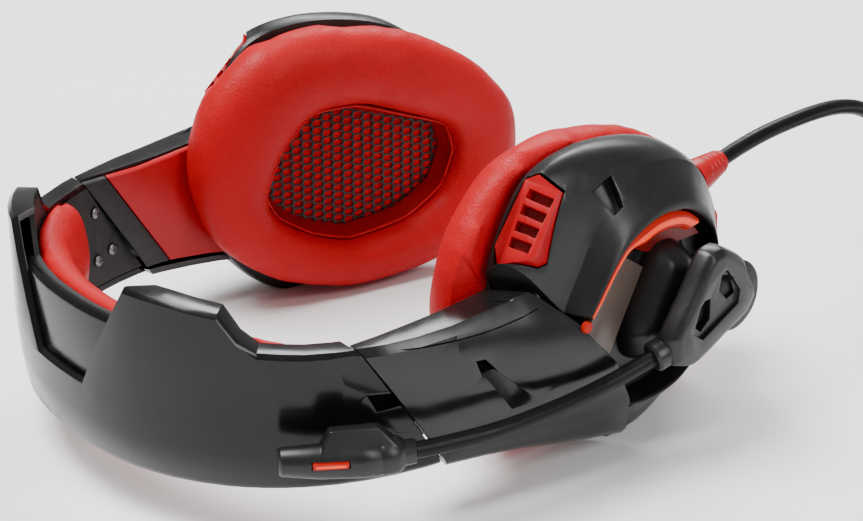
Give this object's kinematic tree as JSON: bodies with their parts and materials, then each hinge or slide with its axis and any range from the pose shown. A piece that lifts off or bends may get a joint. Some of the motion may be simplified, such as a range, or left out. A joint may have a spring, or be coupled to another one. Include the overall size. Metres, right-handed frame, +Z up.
{
  "type": "gaming headset",
  "caption": "Over-ear gaming headset with a padded headband, sliding arms, swivelling ear cups, a boom microphone and a coiled cable with a plug.",
  "frame": {"origin": "middle of the footprint of the headset without its cable, on the floor it lies on", "axes": "+X towards the ear cup with the microphone, +Y from the crown towards the ear cups, +Z up from the floor"},
  "size_m": [0.248, 0.4147, 0.1],
  "materials": {
    "gloss_black": "piano black gloss",
    "satin_black": "satin rubberised coating",
    "soft_black": "matt",
    "cable_black": "matt sheath",
    "red_plastic": "semi-gloss moulded",
    "red_leather": "soft grained leatherette over foam",
    "red_cloth": "fine woven cloth",
    "glow_red": "translucent light guide",
    "steel": "plated",
    "board_green": "printed circuit board"
  },
  "bodies": {
    "crown": {"crown_cover": "gloss_black", "crown_center_panel": "gloss_black", "crown_liner": "soft_black", "crown_pad": "red_leather", "headband_spring": "steel", "liner_screw_1_mic_side": "steel", "liner_screw_1_plain_side": "steel", "liner_screw_2_mic_side": "steel", "liner_screw_2_plain_side": "steel", "liner_screw_3_mic_side": "steel", "liner_screw_3_plain_side": "steel"},
    "arm_mic_side": {"arm_cover_mic_side": "satin_black", "arm_red_panel_mic_side": "red_plastic", "arm_inner_frame_mic_side": "soft_black", "slider_guide_mic_side": "soft_black", "hinge_block_mic_side": "soft_black", "hinge_pin_mic_side": "steel"},
    "arm_plain_side": {"arm_cover_plain_side": "satin_black", "arm_red_panel_plain_side": "red_plastic", "arm_inner_frame_plain_side": "soft_black", "slider_guide_plain_side": "soft_black", "hinge_block_plain_side": "soft_black", "hinge_pin_plain_side": "steel"},
    "cup_mic_side": {"cup_housing_mic_side": "satin_black", "cup_baffle_mic_side": "soft_black", "speaker_driver_mic_side": "steel", "ear_cushion_mic_side": "red_leather", "ear_mesh_mic_side": "soft_black", "ear_cloth_mic_side": "red_cloth", "light_ring_mic_side": "glow_red", "circuit_board_mic_side": "board_green", "red_grip_mic_side": "red_plastic", "outer_cap_mic_side": "gloss_black", "mic_axle": "satin_black", "cable_strain_relief": "red_plastic", "cable": "cable_black", "cable_coil": "cable_black", "cable_tie": "cable_black", "cable_tail": "cable_black", "usb_plug_body": "satin_black", "usb_plug_shell": "steel", "usb_plug_tongue": "soft_black"},
    "cup_plain_side": {"cup_housing_plain_side": "satin_black", "cup_baffle_plain_side": "soft_black", "speaker_driver_plain_side": "steel", "ear_cushion_plain_side": "red_leather", "ear_mesh_plain_side": "soft_black", "ear_cloth_plain_side": "red_cloth", "light_ring_plain_side": "glow_red", "circuit_board_plain_side": "board_green", "red_grip_plain_side": "red_plastic", "outer_cap_plain_side": "gloss_black"},
    "microphone": {"mic_hub": "satin_black", "mic_boom": "cable_black", "mic_head": "satin_black", "mic_light": "glow_red", "mic_capsule": "steel"}
  },
  "joints": [
    {"name": "arm_slide_mic_side", "type": "slide", "parent": "crown", "child": "arm_mic_side", "axis": [0.1871, 0.9823, 0], "range_m": [0, 0.025]},
    {"name": "arm_slide_plain_side", "type": "slide", "parent": "crown", "child": "arm_plain_side", "axis": [-0.1871, 0.9823, 0], "range_m": [0, 0.025]},
    {"name": "cup_swivel_mic_side", "type": "hinge", "parent": "arm_mic_side", "child": "cup_mic_side", "pos_m": [0.07663, 0.00655, 0.05], "axis": [0, 0, 1], "range_deg": [-3, 3]},
    {"name": "cup_swivel_plain_side", "type": "hinge", "parent": "arm_plain_side", "child": "cup_plain_side", "pos_m": [-0.08937, 0.00655, 0.05], "axis": [0, 0, 1], "range_deg": [-3, 3]},
    {"name": "mic_pivot", "type": "hinge", "parent": "cup_mic_side", "child": "microphone", "pos_m": [0.09102, 0.07152, 0.0485], "axis": [-0.9903, -0.1392, 0], "range_deg": [0, 120]}
  ]
}
